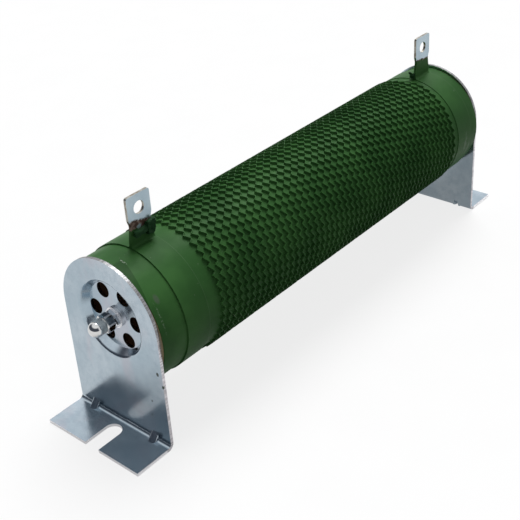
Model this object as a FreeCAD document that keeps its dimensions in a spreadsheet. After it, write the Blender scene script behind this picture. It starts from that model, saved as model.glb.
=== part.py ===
import FreeCAD, Part
import math
import os

import Sketcher

# Braking resistor: a ceramic tube wound on edge with corrugated resistance ribbon, held between
# two pressed steel brackets by a through rod. Millimetres. +X runs along the tube, +Z is up, and
# the origin lies on the mounting surface, midway between the brackets.

Vector = FreeCAD.Vector
Placement = FreeCAD.Placement
Rotation = FreeCAD.Rotation

# Two lengths closer than this count as the same when edges are looked up.
SAME = 1e-4

doc = FreeCAD.newDocument("braking_resistor")
sizes = doc.addObject("Spreadsheet::Sheet", "sizes")

DIMENSIONS = {
    # Brackets, both folded from the same sheet steel
    "bracket_distance": 267.0,
    "bracket_width": 60.0,
    "bracket_sheet": 1.6,
    "bracket_centre_height": 59.25,
    "foot_length": 21.2,
    "bend_radius": 2.0,
    "foot_slot_width": 9.0,
    "foot_slot_setback": 8.2,
    # Ribs pressed into each bracket's bend
    "rib_spacing": 39.6,
    "rib_width": 4.8,
    "rib_reach": 3.6,
    "rib_height": 4.2,
    "rib_wall": 1.2,
    "rib_round": 1.9,
    # Dish pressed into each bracket, with its vents
    "dish_depth": 4.1,
    "dish_mouth_inset": 3.55,
    "dish_flare": 2.65,
    "dish_mouth_round": 2.3,
    "vent_radius": 3.85,
    "vent_inset": 4.0,
    "vent_count": 6,
    "rod_hole_radius": 3.2,
    # Ceramic tube, which hangs on the two dishes
    "tube_radius": 31.4,
    "tube_wall": 8.4,
    "tube_seat_clearance": 0.1,
    # Mica rings at the ends of the tube
    "mica_thickness": 0.5,
    "mica_outer_inset": 0.4,
    "mica_inner_inset": 1.0,
    # Terminal straps
    "strap_sheet": 0.65,
    "strap_width": 14.0,
    "left_strap_setback": 16.5,
    "right_strap_setback": 9.5,
    "tab_rise": 23.95,
    "tab_width": 13.8,
    "tab_offset": 1.8,
    "tab_layer_gap": 0.1,
    "tab_corner_radius": 1.2,
    "tab_hole_radius": 3.1,
    "tab_hole_depth": 6.7,
    "shoulder_depth": 11.0,
    "shoulder_drop": 2.7,
    "neck_width": 12.0,
    "neck_depth": 15.0,
    "neck_round": 1.5,
    # Resistance ribbon
    "ribbon_turns": 49.0,
    "ribbon_waves": 38.75,
    "ribbon_sway": 1.35,
    "ribbon_rise": 1.36,
    "ribbon_lead_in": 5.6,
    "ribbon_lead_out": 4.5,
    "ribbon_start_angle": 15.0,
    "ribbon_run_in_turns": 0.17,
    "coat_thickness": 0.3,
    "coat_gap": 0.05,
    "tail_width": 1.6,
    "tail_thickness": 0.6,
    "tail_lift": 0.15,
    "tail_strap_gap": 0.1,
    "tail_height": 9.0,
    # Rod, washers and nuts
    "rod_radius": 2.5,
    "rod_hole_clearance": 0.05,
    "thread_clearance": 0.05,
    "washer_radius": 5.1,
    "washer_thickness": 1.2,
    "washer_clearance": 0.15,
    "nut_across_flats": 8.0,
    "nut_corner_chamfer": 0.35,
    "jam_nut_thickness": 2.7,
    "jam_nut_turn": 20.0,
    "cap_nut_thickness": 4.3,
    "cap_nut_turn": 40.0,
    "cap_nut_wall": 1.3,
    "cap_nut_neck": 3.5,
    "rod_end_gap": 0.6,
}

for row, (alias, value) in enumerate(DIMENSIONS.items(), start=1):
    sizes.set(f"A{row}", alias)
    sizes.set(f"B{row}", str(value))
    sizes.setAlias(f"B{row}", alias)
doc.recompute()

# Levels and radii that follow from the driving dimensions, as expressions on the sheet.
SHEET = "sizes.bracket_sheet"
CENTRE = "sizes.bracket_centre_height"
HALF_LENGTH = "(sizes.bracket_distance / 2)"
BEND_OUTSIDE = "(sizes.bend_radius + sizes.bracket_sheet)"
TUBE_BORE_RADIUS = "(sizes.tube_radius - sizes.tube_wall)"
DISH_MOUTH_RADIUS = f"({TUBE_BORE_RADIUS} - sizes.dish_mouth_inset)"
DISH_FLOOR_RADIUS = f"({DISH_MOUTH_RADIUS} - sizes.dish_flare)"
VENT_CIRCLE_RADIUS = f"({DISH_FLOOR_RADIUS} - sizes.vent_inset)"
DISH_SLOPE = "(sizes.dish_flare / sizes.dish_depth)"
SLANT_WALL = f"(sizes.bracket_sheet * sqrt(1 + {DISH_SLOPE} ^ 2))"
BOSS_ROOT_RADIUS = f"({DISH_MOUTH_RADIUS} - {SHEET} * {DISH_SLOPE} + {SLANT_WALL})"
BOSS_END_RADIUS = f"({DISH_FLOOR_RADIUS} - {SHEET} * {DISH_SLOPE} + {SLANT_WALL})"
TUBE_SAG = f"({TUBE_BORE_RADIUS} - {BOSS_ROOT_RADIUS} + sizes.mica_thickness * {DISH_SLOPE}" \
    " - sizes.tube_seat_clearance)"
TUBE_AXIS = f"({CENTRE} - {TUBE_SAG})"
TUBE_HALF = f"({HALF_LENGTH} - {SHEET} - sizes.mica_thickness)"
ROD_AXIS = f"({CENTRE} - sizes.rod_hole_radius + sizes.rod_radius + sizes.rod_hole_clearance)"
DISH_FLOOR = f"({HALF_LENGTH} - sizes.dish_depth)"
STRAP_RADIUS = "(sizes.tube_radius + sizes.strap_sheet)"
TAB_TOP = f"({STRAP_RADIUS} + sizes.tab_rise)"
COAT_RADIUS = "(sizes.tube_radius + sizes.coat_thickness)"
TAB_THICKNESS = "(2 * sizes.strap_sheet + sizes.tab_layer_gap)"
NUT_CORNER_RADIUS = "(sizes.nut_across_flats / sqrt(3))"
NECK_RADIUS = "(sizes.rod_radius + sizes.cap_nut_wall)"
CAP_BORE_DEPTH = "(sizes.cap_nut_thickness + sizes.cap_nut_neck)"
STACK_HEIGHT = "(sizes.washer_thickness + sizes.jam_nut_thickness)"
THROUGH_FOOT = f"(4 * {SHEET})"
ROD_HALF = f"({DISH_FLOOR} + {STACK_HEIGHT} + {CAP_BORE_DEPTH} - sizes.rod_end_gap)"


def number(expression):
    """Value of an expression on the sheet."""
    return float(sizes.evalExpression(expression))


def plane(body, role):
    """One of the body's own origin planes."""
    return next(feature for feature in body.Origin.OriginFeatures if feature.Role == role)


def new_body(name):
    body = doc.addObject("PartDesign::Body", name)
    body.Label = name
    return body


def new_sketch(body, name, role, along_x="0", along_y="0", along_normal="0"):
    """Sketch on an origin plane, its own origin moved along the plane and off it."""
    sketch = body.newObject("Sketcher::SketchObject", name)
    sketch.AttachmentSupport = [(plane(body, role), "")]
    sketch.MapMode = "FlatFace"
    for axis, expression in zip("xyz", (along_x, along_y, along_normal)):
        sketch.setExpression(f"AttachmentOffset.Base.{axis}", expression)
    return sketch


def add_polygon(sketch, corners):
    """Closed outline through corners given as pairs of expressions, each one held by the sheet."""
    points = [Vector(number(across), number(up), 0) for across, up in corners]
    first = sketch.GeometryCount
    count = len(points)
    for index, point in enumerate(points):
        sketch.addGeometry(Part.LineSegment(point, points[(index + 1) % count]), False)
    for index in range(count):
        following = first + (index + 1) % count
        sketch.addConstraint(Sketcher.Constraint("Coincident", first + index, 2, following, 1))
    for index, corner in enumerate(corners):
        for kind, expression in zip(("DistanceX", "DistanceY"), corner):
            held = Sketcher.Constraint(kind, -1, 1, first + index, 1, number(expression))
            sketch.setExpression(f"Constraints[{sketch.addConstraint(held)}]", expression)


def add_circle(sketch, across, up, radius):
    centre = Vector(number(across), number(up), 0)
    circle = sketch.addGeometry(Part.Circle(centre, Vector(0, 0, 1), number(radius)), False)
    for kind, expression in (("DistanceX", across), ("DistanceY", up)):
        held = Sketcher.Constraint(kind, -1, 1, circle, 3, number(expression))
        sketch.setExpression(f"Constraints[{sketch.addConstraint(held)}]", expression)
    held = Sketcher.Constraint("Radius", circle, number(radius))
    sketch.setExpression(f"Constraints[{sketch.addConstraint(held)}]", radius)


def add_quarter_disc(sketch, radius):
    """Quarter of a disc between the sketch's two axes."""
    reach = number(radius)
    centre = Vector(0, 0, 0)
    full = Part.Circle(centre, Vector(0, 0, 1), reach)
    base = sketch.addGeometry(Part.LineSegment(centre, Vector(reach, 0, 0)), False)
    arc = sketch.addGeometry(Part.ArcOfCircle(full, 0, math.pi / 2), False)
    side = sketch.addGeometry(Part.LineSegment(Vector(0, reach, 0), centre), False)
    sketch.addConstraint(Sketcher.Constraint("Coincident", base, 2, arc, 1))
    sketch.addConstraint(Sketcher.Constraint("Coincident", arc, 2, side, 1))
    sketch.addConstraint(Sketcher.Constraint("Coincident", side, 2, base, 1))
    sketch.addConstraint(Sketcher.Constraint("Coincident", base, 1, -1, 1))
    sketch.addConstraint(Sketcher.Constraint("Coincident", arc, 3, -1, 1))
    sketch.addConstraint(Sketcher.Constraint("Horizontal", base))
    sketch.addConstraint(Sketcher.Constraint("Vertical", side))
    held = Sketcher.Constraint("Radius", arc, reach)
    sketch.setExpression(f"Constraints[{sketch.addConstraint(held)}]", radius)


def pad(body, name, sketch, length, midplane=False):
    feature = body.newObject("PartDesign::Pad", name)
    feature.Profile = sketch
    feature.Midplane = midplane
    feature.setExpression("Length", length)
    return feature


def cut_through(body, name, sketch):
    """Pocket through everything on both sides of the sketch."""
    feature = body.newObject("PartDesign::Pocket", name)
    feature.Profile = sketch
    feature.Type = "ThroughAll"
    feature.Midplane = True
    return feature


def cut_slice(body, name, sketch, width):
    """Pocket of a given width, half on each side of the sketch."""
    feature = body.newObject("PartDesign::Pocket", name)
    feature.Profile = sketch
    feature.Midplane = True
    feature.setExpression("Length", width)
    return feature


def revolve(body, kind, name, sketch, axis):
    feature = body.newObject(kind, name)
    feature.Profile = sketch
    feature.ReferenceAxis = (sketch, [axis])
    feature.Angle = 360.0
    return feature


def round_edges(body, name, wanted, radius):
    """Fillet on those edges of the body so far for which wanted(edge) is true."""
    doc.recompute()
    base = body.Tip
    edges = [f"Edge{n}" for n, edge in enumerate(base.Shape.Edges, start=1) if wanted(edge)]
    feature = body.newObject("PartDesign::Fillet", name)
    feature.Base = (base, edges)
    feature.setExpression("Radius", radius)
    return feature


def circle_at(level, radius):
    """Test for a full circle round the X axis at one level along it."""
    def wanted(edge):
        if not isinstance(edge.Curve, Part.Circle):
            return False
        same_radius = math.isclose(edge.Curve.Radius, number(radius), abs_tol=SAME)
        return same_radius and math.isclose(edge.Curve.Center.x, number(level), abs_tol=SAME)
    return wanted


def bracket(side, turn):
    """Arched plate with a vented dish, folded outwards into a slotted foot."""
    body = new_body(f"{side}_bracket")
    face = f"-{HALF_LENGTH}"

    plate = new_sketch(body, f"{side}_plate_outline", "YZ_Plane", along_normal=face)
    half = "sizes.bracket_width / 2"
    add_polygon(plate, [
        (f"-{half}", BEND_OUTSIDE),
        (half, BEND_OUTSIDE),
        (half, CENTRE),
        (f"-{half}", CENTRE),
    ])
    pad(body, f"{side}_plate", plate, SHEET)
    arch = new_sketch(body, f"{side}_arch_outline", "YZ_Plane", "0", CENTRE, face)
    add_circle(arch, "0", "0", half)
    pad(body, f"{side}_arch", arch, SHEET)

    fold = new_sketch(body, f"{side}_fold_outline", "XZ_Plane", along_x=face)
    add_polygon(fold, [
        ("-sizes.foot_length", "0"),
        (SHEET, "0"),
        (SHEET, BEND_OUTSIDE),
        ("0", BEND_OUTSIDE),
        ("0", SHEET),
        ("-sizes.foot_length", SHEET),
    ])
    pad(body, f"{side}_foot", fold, "sizes.bracket_width", midplane=True)

    def along_y(x, z):
        def wanted(edge):
            box = edge.BoundBox
            on_line = math.isclose(box.XMin, number(x), abs_tol=SAME)
            on_line = on_line and math.isclose(box.ZMin, number(z), abs_tol=SAME)
            return on_line and max(box.XLength, box.ZLength) < SAME
        return wanted

    round_edges(body, f"{side}_bend_inside", along_y(face, SHEET), "sizes.bend_radius")
    round_edges(body, f"{side}_bend_outside", along_y(f"{face} + {SHEET}", "0"), BEND_OUTSIDE)

    boss = new_sketch(body, f"{side}_boss_outline", "XZ_Plane", face, CENTRE)
    add_polygon(boss, [
        ("0", "0"),
        ("0", BOSS_ROOT_RADIUS),
        (SHEET, BOSS_ROOT_RADIUS),
        (f"{SHEET} + sizes.dish_depth", BOSS_END_RADIUS),
        (f"{SHEET} + sizes.dish_depth", "0"),
    ])
    revolve(body, "PartDesign::Revolution", f"{side}_boss", boss, "H_Axis")
    dish = new_sketch(body, f"{side}_dish_outline", "XZ_Plane", face, CENTRE)
    add_polygon(dish, [
        ("0", "0"),
        ("0", DISH_MOUTH_RADIUS),
        ("sizes.dish_depth", DISH_FLOOR_RADIUS),
        ("sizes.dish_depth", "0"),
    ])
    revolve(body, "PartDesign::Groove", f"{side}_dish", dish, "H_Axis")
    mouth = circle_at(face, DISH_MOUTH_RADIUS)
    round_edges(body, f"{side}_dish_mouth", mouth, "sizes.dish_mouth_round")
    root = circle_at(f"{face} + {SHEET}", BOSS_ROOT_RADIUS)
    round_edges(body, f"{side}_boss_root", root, "sizes.dish_mouth_round - sizes.bracket_sheet")

    rod_hole = new_sketch(body, f"{side}_rod_hole_outline", "YZ_Plane", "0", CENTRE, face)
    add_circle(rod_hole, "0", "0", "sizes.rod_hole_radius")
    cut_through(body, f"{side}_rod_hole", rod_hole)

    rib_line = "sizes.rib_spacing / 2"
    for name, across in (("front", f"-{rib_line}"), ("back", rib_line)):
        pressed_rib(body, f"{side}_{name}_rib", face, across)

    slot = new_sketch(body, f"{side}_slot_outline", "XY_Plane", along_x=face)
    slot_half = "sizes.foot_slot_width / 2"
    add_polygon(slot, [
        ("-sizes.foot_length - sizes.bracket_sheet", f"-{slot_half}"),
        ("-sizes.foot_slot_setback", f"-{slot_half}"),
        ("-sizes.foot_slot_setback", slot_half),
        ("-sizes.foot_length - sizes.bracket_sheet", slot_half),
    ])
    cut_slice(body, f"{side}_slot", slot, THROUGH_FOOT)
    slot_end = new_sketch(body, f"{side}_slot_end_outline", "XY_Plane", along_x=face)
    add_circle(slot_end, "-sizes.foot_slot_setback", "0", slot_half)
    cut_slice(body, f"{side}_slot_end", slot_end, THROUGH_FOOT)

    vent = new_sketch(body, f"{side}_vent_outline", "YZ_Plane", "0", CENTRE, face)
    add_circle(vent, VENT_CIRCLE_RADIUS, "0", "sizes.vent_radius")
    first_vent = cut_through(body, f"{side}_vent", vent)
    vents = body.newObject("PartDesign::PolarPattern", f"{side}_vents")
    vents.Originals = [first_vent]
    vents.Axis = (vent, ["N_Axis"])
    vents.Angle = 360.0
    vents.setExpression("Occurrences", "sizes.vent_count")
    body.Tip = vents
    body.Placement = Placement(Vector(0, 0, 0), Rotation(Vector(0, 0, 1), turn))
    return body


def pressed_rib(body, name, face, across):
    """Triangular rib in the corner of the bend, hollow on its back as a press leaves it."""
    # The plane at zero is the XZ plane, whose normal points to -Y.
    rib = new_sketch(body, f"{name}_outline", "XZ_Plane", face, "0", f"-({across})")
    add_polygon(rib, [
        ("-sizes.rib_reach", SHEET),
        ("-sizes.rib_reach", "sizes.bracket_sheet / 2"),
        ("sizes.bracket_sheet / 2", "sizes.bracket_sheet / 2"),
        ("sizes.bracket_sheet / 2", f"{SHEET} + sizes.rib_height"),
        ("0", f"{SHEET} + sizes.rib_height"),
    ])
    pad(body, name, rib, "sizes.rib_width", midplane=True)

    def slanted_edge(edge):
        box = edge.BoundBox
        from_middle = abs(box.YMin - number(across))
        at_side = math.isclose(from_middle, number("sizes.rib_width / 2"), abs_tol=SAME)
        slants = math.isclose(box.XLength, number("sizes.rib_reach"), abs_tol=SAME)
        return at_side and slants and isinstance(edge.Curve, Part.Line) and box.ZLength > SAME

    round_edges(body, f"{name}_ridge", slanted_edge, "sizes.rib_round")
    hollow = new_sketch(body, f"{name}_hollow_outline", "XZ_Plane", face, "0", f"-({across})")
    add_polygon(hollow, [
        ("-sizes.rib_reach + sizes.bracket_sheet / 2", "-sizes.bracket_sheet"),
        (f"{SHEET} + sizes.bracket_sheet", "-sizes.bracket_sheet"),
        (f"{SHEET} + sizes.bracket_sheet", "sizes.rib_height"),
        (SHEET, "sizes.rib_height"),
        ("-sizes.rib_reach + sizes.bracket_sheet / 2", "0"),
    ])
    cut_slice(body, f"{name}_hollow", hollow, "sizes.rib_width - 2 * sizes.rib_wall")


def hollow_cylinder(name, outer_radius, inner_radius, length):
    """Cylinder along X with a bore, from Part primitives."""
    shell = doc.addObject("Part::Cylinder", f"{name}_outside")
    shell.setExpression("Radius", outer_radius)
    shell.setExpression("Height", length)
    bore = doc.addObject("Part::Cylinder", f"{name}_bore")
    bore.setExpression("Radius", inner_radius)
    bore.setExpression("Height", length)
    tube = doc.addObject("Part::Cut", name)
    tube.Base = shell
    tube.Tool = bore
    tube.Label = name
    tube.Placement = Placement(Vector(0, 0, 0), Rotation(Vector(0, 1, 0), 90))
    return tube


def put(piece, along, height):
    """Bind where a piece starts along X and how high its axis lies."""
    piece.setExpression("Placement.Base.x", along)
    piece.setExpression("Placement.Base.z", height)


def ceramic_tube():
    tube = hollow_cylinder("ceramic_tube", "sizes.tube_radius", TUBE_BORE_RADIUS, f"2 * {TUBE_HALF}")
    put(tube, f"-{TUBE_HALF}", TUBE_AXIS)
    return tube


def mica_ring(side, start):
    outer = "sizes.tube_radius - sizes.mica_outer_inset"
    inner = f"{TUBE_BORE_RADIUS} + sizes.mica_inner_inset"
    ring = hollow_cylinder(f"{side}_mica_ring", outer, inner, "sizes.mica_thickness")
    put(ring, start, TUBE_AXIS)
    return ring


def flat_washer(side, start):
    inner = "sizes.rod_radius + sizes.washer_clearance"
    washer = hollow_cylinder(f"{side}_flat_washer", "sizes.washer_radius", inner, "sizes.washer_thickness")
    put(washer, start, ROD_AXIS)
    return washer


def tie_rod():
    rod = doc.addObject("Part::Cylinder", "tie_rod")
    rod.setExpression("Radius", "sizes.rod_radius")
    rod.setExpression("Height", f"2 * {ROD_HALF}")
    rod.Placement = Placement(Vector(0, 0, 0), Rotation(Vector(0, 1, 0), 90))
    put(rod, f"-{ROD_HALF}", ROD_AXIS)
    return rod


def terminal_strap(side, middle):
    """Band round the tube whose two ends turn up side by side and make a tab with a hole."""
    body = new_body(f"{side}_terminal_strap")
    band = new_sketch(body, f"{side}_band_outline", "YZ_Plane")
    add_circle(band, "0", "0", STRAP_RADIUS)
    pad(body, f"{side}_band", band, "sizes.strap_width", midplane=True)

    # The plane at zero is the XZ plane, whose normal points to -Y.
    tab = new_sketch(body, f"{side}_tab_outline", "XZ_Plane", along_normal="sizes.tab_offset")
    edge = [
        ("sizes.strap_width / 2", "sizes.tube_radius / 2"),
        ("sizes.strap_width / 2", f"{STRAP_RADIUS} + 2 * sizes.neck_round"),
        ("sizes.neck_width / 2", f"{TAB_TOP} - sizes.neck_depth"),
        ("sizes.neck_width / 2", f"{TAB_TOP} - sizes.shoulder_depth - sizes.shoulder_drop"),
        ("sizes.tab_width / 2", f"{TAB_TOP} - sizes.shoulder_depth"),
        ("sizes.tab_width / 2", TAB_TOP),
    ]
    mirrored = [(f"-{across}", up) for across, up in reversed(edge)]
    add_polygon(tab, edge + mirrored)
    pad(body, f"{side}_tab", tab, TAB_THICKNESS, midplane=True)

    def foot_of_tab(edge):
        box = edge.BoundBox
        is_line = isinstance(edge.Curve, Part.Line) and box.XLength > number("sizes.strap_width") / 2
        return is_line and number("sizes.tube_radius * 0.9") < box.ZMin < number(STRAP_RADIUS) + SAME

    def top_corner(edge):
        box = edge.BoundBox
        at_top = math.isclose(box.ZMin, number(TAB_TOP), abs_tol=SAME)
        return at_top and box.XLength < SAME

    round_edges(body, f"{side}_neck_round", foot_of_tab, "sizes.neck_round")
    round_edges(body, f"{side}_tab_corners", top_corner, "sizes.tab_corner_radius")

    inside = new_sketch(body, f"{side}_inside_outline", "YZ_Plane")
    add_circle(inside, "0", "0", "sizes.tube_radius")
    cut_through(body, f"{side}_inside", inside)
    seam = new_sketch(body, f"{side}_seam_outline", "XZ_Plane", along_normal="sizes.tab_offset")
    add_polygon(seam, [
        ("-sizes.strap_width", "sizes.tube_radius / 2"),
        ("sizes.strap_width", "sizes.tube_radius / 2"),
        ("sizes.strap_width", f"{TAB_TOP} + sizes.strap_sheet"),
        ("-sizes.strap_width", f"{TAB_TOP} + sizes.strap_sheet"),
    ])
    cut_slice(body, f"{side}_seam", seam, "sizes.tab_layer_gap")
    hole = new_sketch(body, f"{side}_tab_hole_outline", "XZ_Plane")
    add_circle(hole, "0", f"{TAB_TOP} - sizes.tab_hole_depth", "sizes.tab_hole_radius")
    cut_through(body, f"{side}_tab_hole", hole)
    put(body, middle, TUBE_AXIS)
    return body


def hexagon(body, name, thickness):
    """Six-sided block standing on the XY plane, its corners bevelled at the outer face."""
    outline = new_sketch(body, f"{name}_hexagon_outline", "XY_Plane")
    corners = [
        (f"{NUT_CORNER_RADIUS} * cos({60 * side})", f"{NUT_CORNER_RADIUS} * sin({60 * side})")
        for side in range(6)
    ]
    add_polygon(outline, corners)
    pad(body, f"{name}_hexagon", outline, thickness)
    bevel = new_sketch(body, f"{name}_bevel_outline", "XZ_Plane")
    flat_radius = "sizes.nut_across_flats / 2"
    beyond = f"2 * {NUT_CORNER_RADIUS} - {flat_radius}"
    add_polygon(bevel, [
        (flat_radius, thickness),
        (beyond, thickness),
        (beyond, f"{thickness} - 2 * sizes.nut_corner_chamfer"),
    ])
    revolve(body, "PartDesign::Groove", f"{name}_bevel", bevel, "V_Axis")


def outwards(side, turn):
    """Rotation that takes the local +Z axis out of one end of the resistor."""
    tip = -90 if side == "left" else 90
    return Rotation(Vector(0, 1, 0), tip).multiply(Rotation(Vector(0, 0, 1), turn))


def jam_nut(side, seat):
    name = f"{side}_jam_nut"
    body = new_body(name)
    hexagon(body, name, "sizes.jam_nut_thickness")
    bore = new_sketch(body, f"{name}_bore_outline", "XY_Plane")
    add_circle(bore, "0", "0", "sizes.rod_radius + sizes.thread_clearance")
    cut_through(body, f"{name}_bore", bore)
    body.Placement = Placement(Vector(0, 0, 0), outwards(side, number("sizes.jam_nut_turn")))
    put(body, seat, ROD_AXIS)
    return body


def cap_nut(side, seat):
    """Hexagon with a short neck and a dome over the blind thread."""
    name = f"{side}_cap_nut"
    body = new_body(name)
    hexagon(body, name, "sizes.cap_nut_thickness")
    neck = new_sketch(body, f"{name}_neck_outline", "XY_Plane", along_normal="sizes.cap_nut_thickness / 2")
    add_circle(neck, "0", "0", NECK_RADIUS)
    pad(body, f"{name}_neck", neck, "sizes.cap_nut_thickness / 2 + sizes.cap_nut_neck")
    dome = new_sketch(body, f"{name}_dome_outline", "XZ_Plane", along_y=CAP_BORE_DEPTH)
    add_quarter_disc(dome, NECK_RADIUS)
    revolve(body, "PartDesign::Revolution", f"{name}_dome", dome, "V_Axis")
    bore = new_sketch(body, f"{name}_bore_outline", "XZ_Plane")
    add_polygon(bore, [
        ("0", "0"),
        ("sizes.rod_radius + sizes.thread_clearance", "0"),
        ("sizes.rod_radius + sizes.thread_clearance", CAP_BORE_DEPTH),
        ("0", CAP_BORE_DEPTH),
    ])
    revolve(body, "PartDesign::Groove", f"{name}_bore", bore, "V_Axis")
    body.Placement = Placement(Vector(0, 0, 0), outwards(side, number("sizes.cap_nut_turn")))
    put(body, seat, ROD_AXIS)
    return body


class Facets:
    """Planar triangles round the tube's axis that share their corners and edges."""

    def __init__(self):
        self.corners = []
        self.edges = {}
        self.faces = []

    def corner(self, turn, point):
        """New corner, kept with how many turns round the tube it lies."""
        self.corners.append(Part.Vertex(point))
        return turn, len(self.corners) - 1

    def edge(self, start, end):
        key = (min(start, end), max(start, end))
        if key not in self.edges:
            self.edges[key] = Part.Edge(self.corners[start], self.corners[end])
        return self.edges[key]

    def triangle(self, *corners):
        indices = [index for turn, index in corners]
        sides = [self.edge(indices[n], indices[(n + 1) % 3]) for n in range(3)]
        face = Part.Face(Part.Wire(sides))
        centre = face.CenterOfMass
        self.faces.append(facing(face, Vector(0, centre.y, centre.z)))

    def span(self, one, other):
        return self.corners[one[1]].Point.distanceToPoint(self.corners[other[1]].Point)

    def band(self, near, far):
        """Fill the band between two rows of corners, always along the shorter diagonal."""
        one = 0
        two = 0
        while one < len(near) - 1 or two < len(far) - 1:
            to_near = self.span(near[one + 1], far[two]) if one < len(near) - 1 else math.inf
            to_far = self.span(near[one], far[two + 1]) if two < len(far) - 1 else math.inf
            if to_near <= to_far:
                self.triangle(near[one], near[one + 1], far[two])
                one += 1
            else:
                self.triangle(near[one], far[two + 1], far[two])
                two += 1


def facing(face, direction):
    """The face, turned over if its normal points away from a direction."""
    if face.normalAt(0, 0).dot(direction) < 0:
        face.reverse()
    return face


def on_tube(along, turn, radius):
    """Point at a place along the tube's axis; turns run from the top towards the back."""
    angle = 2 * math.pi * turn
    return Vector(along, radius * math.sin(angle), radius * math.cos(angle))


def winding(left_end, right_end):
    """Corrugated ribbon on edge in a left-handed helix, with the coat between its turns."""
    facets = Facets()
    turns = number("sizes.ribbon_turns")
    waves = number("sizes.ribbon_waves")
    sway = number("sizes.ribbon_sway")
    coat = number(COAT_RADIUS)
    rise = number("sizes.ribbon_rise")
    bore = number("sizes.tube_radius")
    start_turn = number("sizes.ribbon_start_angle") / 360
    first = left_end + number("sizes.ribbon_lead_in")
    pitch = (right_end - number("sizes.ribbon_lead_out") - first) / turns
    wave_count = round(turns * waves)
    run_in_waves = waves * number("sizes.ribbon_run_in_turns")

    def corner(turn, along, radius):
        return facets.corner(turn, on_tube(along, start_turn + turn, radius))

    # The rim has a corner at each crest and trough of its corrugation, and rises out of the coat
    # at both ends of the helix. The hollow between turns has one corner to a wave.
    rims = []
    for half_wave in range(2 * wave_count + 1):
        turn = half_wave / (2 * waves)
        waves_to_end = min(half_wave, 2 * wave_count - half_wave) / 2
        share = min(waves_to_end / run_in_waves, 1)
        side = sway if half_wave % 2 else -sway
        rims.append(corner(turn, first + pitch * turn + side * share, coat + rise * share))
    hollows = []
    for wave in range(wave_count + 1):
        turn = wave / waves
        hollows.append(corner(turn, first + pitch * (turn + 0.5), coat))

    # Each hollow is joined to the rim on its left and to the rim one turn later on its right.
    turns = wave_count / waves
    next_rims = [place for place in rims if place[0] > 1 - 0.5 / waves]
    passed = [place for place in hollows if place[0] < turns - 1]
    last = hollows[len(passed):]
    facets.band(rims, hollows)
    facets.band(passed + last[:1], next_rims)

    # A plain sleeve of coat leads from the first turn to one strap and from the last to the other.
    first_loop = rims[:len(rims) - len(next_rims) + 1] + [hollows[0], rims[0]]
    last_loop = [rims[-1]] + last + [rims[-1]]
    ring_corners = round(waves)

    def end_ring(start, along):
        ring = [corner(start + step / ring_corners, along, coat) for step in range(ring_corners)]
        return ring + ring[:1]

    left_ring = end_ring(-0.5 / ring_corners, left_end)
    right_ring = end_ring(turns + 0.5 / ring_corners, right_end)
    facets.band(first_loop, left_ring)
    facets.band(last_loop, right_ring)

    inside = Part.makeCylinder(bore, right_end - left_end, Vector(left_end, 0, 0), Vector(1, 0, 0))
    wall = next(face for face in inside.Faces if isinstance(face.Surface, Part.Cylinder))
    faces = facets.faces + [wall.reversed()]
    for ring, along, outward in ((left_ring, left_end, -1), (right_ring, right_end, 1)):
        rim_edges = [facets.edge(ring[n][1], ring[n + 1][1]) for n in range(ring_corners)]
        circle = next(edge for edge in wall.Edges
                      if edge.BoundBox.XLength < SAME and abs(edge.BoundBox.XMin - along) < SAME)
        disc = Part.Face([Part.Wire(rim_edges), Part.Wire([circle])], "Part::FaceMakerBullseye")
        faces.append(facing(disc, Vector(outward, 0, 0)))
    return Part.Solid(Part.Shell(faces))


def ribbon_tail(ribbon_end, strap_edge):
    """End of the ribbon, led over the coat to the strap's neck and turned up beside it."""
    width = number("sizes.tail_width")
    thickness = number("sizes.tail_thickness")
    lift = number(f"{COAT_RADIUS} + sizes.tail_lift")
    top = number(f"{STRAP_RADIUS} + sizes.tail_height")
    start_angle = number("sizes.ribbon_start_angle")
    seam_angle = -math.degrees(math.asin(number("sizes.tab_offset") / lift))
    # Underside of the flat stretch, from the ribbon's end to the foot of the neck, in one plane.
    middle_angle = (start_angle + seam_angle) / 2
    under = [on_tube(0, angle / 360, lift) for angle in (start_angle, middle_angle, seam_angle)]
    for point in under:
        share = (under[0].y - point.y) / (under[0].y - under[-1].y)
        point.x = ribbon_end + (strap_edge - ribbon_end) * share
    over = [point + Vector(0, 0, thickness) for point in under]
    run = Vector(under[2].x - under[0].x, under[2].y - under[0].y, 0).normalize()
    back = run * -thickness
    standing = [Vector(under[2].x, under[2].y, top), Vector(under[2].x, under[2].y, top) + back]
    corner = over[2] + back
    outline = Part.makePolygon(under + standing + [corner, over[1], over[0], under[0]])
    across = Vector(-run.y, run.x, 0) * width
    return Part.Face(outline).extrude(across).translated(across * -0.5)


def resistance_ribbon():
    left_end = number(f"-{HALF_LENGTH} + sizes.left_strap_setback + sizes.strap_width + sizes.coat_gap")
    right_end = number(f"{HALF_LENGTH} - sizes.right_strap_setback - sizes.strap_width - sizes.coat_gap")
    tail_gap = number("sizes.tail_width / 2 + sizes.tail_strap_gap")
    left_tail = ribbon_tail(left_end + number("sizes.ribbon_lead_in"), left_end + tail_gap)
    right_tail = ribbon_tail(right_end - number("sizes.ribbon_lead_out"), right_end - tail_gap)
    piece = doc.addObject("Part::Feature", "resistance_ribbon")
    piece.Label = "resistance_ribbon"
    piece.Shape = Part.makeCompound([winding(left_end, right_end), left_tail, right_tail])
    piece.Placement = Placement(Vector(0, 0, 0), Rotation())
    piece.setExpression("Placement.Base.z", TUBE_AXIS)
    return piece


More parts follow.
